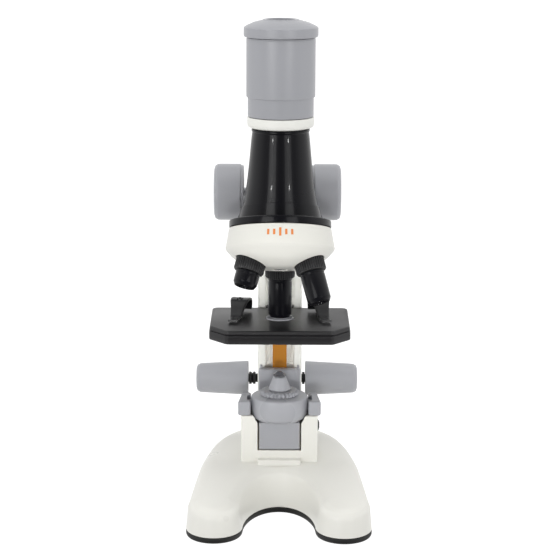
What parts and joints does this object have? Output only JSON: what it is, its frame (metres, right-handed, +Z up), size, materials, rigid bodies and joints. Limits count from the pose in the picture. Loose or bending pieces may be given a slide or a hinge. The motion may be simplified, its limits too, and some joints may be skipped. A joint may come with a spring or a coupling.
{
  "type": "toy microscope",
  "caption": "Small upright student microscope with a horseshoe base, tilting arm, rack-driven tube and stage, turning objective turret and a swivelling lamp.",
  "frame": {"origin": "middle of the base's underside, on the optical axis", "axes": "+Z up, +X to the right of someone facing the front, +Y towards the back of the base"},
  "size_m": [0.0804, 0.1134, 0.2184],
  "materials": {
    "white_plastic": "glossy moulded cream-white ABS",
    "grey_plastic": "satin moulded mid-grey ABS",
    "black_gloss": "glossy moulded black ABS",
    "black_satin": "satin moulded black plastic",
    "black_rubber": "soft black rubber rim",
    "orange_plastic": "orange-brown acetal rack",
    "glass": "clear polished lens",
    "mirror": "silvered flat mirror",
    "steel": "plain steel",
    "battery": "plain sleeve"
  },
  "bodies": {
    "base": {"base_shell": "white_plastic", "rubber_rim": "black_rubber", "base_plate": "white_plastic", "battery_door": "white_plastic", "battery_front": "battery", "battery_back": "battery", "battery_tray": "steel", "base_screw_left": "steel", "base_screw_right": "steel", "trunnion_cap_left": "grey_plastic", "trunnion_cap_right": "grey_plastic", "pivot_screw": "black_satin", "pivot_nut": "steel"},
    "arm": {"arm_body": "white_plastic", "arm_cover": "white_plastic", "arm_screw_low": "steel", "arm_screw_high": "steel", "rack_guide": "grey_plastic"},
    "tube": {"body_tube": "black_gloss", "tube_ring": "white_plastic", "tube_rack": "black_satin", "nosepiece_plate": "black_gloss", "turret_screw": "steel"},
    "eyepiece": {"eyepiece_barrel": "grey_plastic", "eyepiece_cap": "grey_plastic", "draw_tube": "black_satin", "eye_lens": "glass", "field_lens": "glass"},
    "turret": {"turret_dome": "white_plastic", "objective_high_collar": "black_satin", "objective_high_barrel": "black_gloss", "objective_high_lens": "glass", "objective_mid_collar": "black_satin", "objective_mid_barrel": "black_gloss", "objective_mid_lens": "glass", "objective_low_collar": "black_satin", "objective_low_barrel": "black_gloss", "objective_low_lens": "glass"},
    "stage": {"stage_plate": "black_satin", "aperture_ring": "grey_plastic", "stage_bracket": "black_satin", "stage_rack": "orange_plastic", "clip_pin_left": "steel", "clip_pin_right": "steel"},
    "clip_left": {"stage_clip_left": "black_satin"},
    "clip_right": {"stage_clip_right": "black_satin"},
    "focus_drive": {"focus_shaft": "steel", "focus_pinion": "white_plastic", "focus_knob_left": "grey_plastic", "focus_knob_right": "grey_plastic"},
    "stage_drive": {"stage_shaft": "black_satin", "stage_pinion": "white_plastic", "stage_knob_left": "grey_plastic", "stage_knob_right": "grey_plastic"},
    "lamp": {"lamp_bowl": "grey_plastic", "lamp_cone": "grey_plastic", "lamp_led": "black_gloss", "mirror_frame": "grey_plastic", "mirror": "mirror"},
    "dial": {"filter_dial": "grey_plastic"}
  },
  "joints": [
    {"name": "arm_tilt", "type": "hinge", "parent": "base", "child": "arm", "pos_m": [0, 0.03, 0.0275], "axis": [-1, 0, 0], "range_deg": [0, 45]},
    {"name": "tube_focus", "type": "slide", "parent": "arm", "child": "tube", "axis": [0, 0, 1], "range_m": [0, 0.014]},
    {"name": "eyepiece_draw", "type": "slide", "parent": "tube", "child": "eyepiece", "axis": [0, 0, 1], "range_m": [0, 0.012]},
    {"name": "turret_turn", "type": "hinge", "parent": "tube", "child": "turret", "pos_m": [0, 0, 0.1588], "axis": [0, 0.2924, 0.9563], "continuous": true},
    {"name": "stage_focus", "type": "slide", "parent": "arm", "child": "stage", "axis": [0, 0, 1], "range_m": [-0.01, 0]},
    {"name": "clip_left_swing", "type": "hinge", "parent": "stage", "child": "clip_left", "pos_m": [-0.0178, 0.0035, 0.09], "axis": [0, 0, 1], "range_deg": [-25, 10]},
    {"name": "clip_right_swing", "type": "hinge", "parent": "stage", "child": "clip_right", "pos_m": [0.0178, 0.0035, 0.09], "axis": [0, 0, 1], "range_deg": [-10, 25]},
    {"name": "focus_knob_turn", "type": "hinge", "parent": "arm", "child": "focus_drive", "pos_m": [0, 0.033, 0.1373], "axis": [-1, 0, 0], "range_deg": [0, 111]},
    {"name": "stage_knob_turn", "type": "hinge", "parent": "arm", "child": "stage_drive", "pos_m": [0, 0.033, 0.0494], "axis": [-1, 0, 0], "range_deg": [-80, 0]},
    {"name": "lamp_turn", "type": "hinge", "parent": "base", "child": "lamp", "pos_m": [0, 0, 0.0462], "axis": [-1, 0, 0], "range_deg": [0, 180]},
    {"name": "dial_turn", "type": "hinge", "parent": "lamp", "child": "dial", "pos_m": [0, 0, 0.0515], "axis": [0, 0, 1], "continuous": true}
  ],
  "couplings": [
    {"joint": "focus_knob_turn", "follows": "tube_focus", "rad_per_m": 136.99},
    {"joint": "stage_knob_turn", "follows": "stage_focus", "rad_per_m": 136.99}
  ]
}
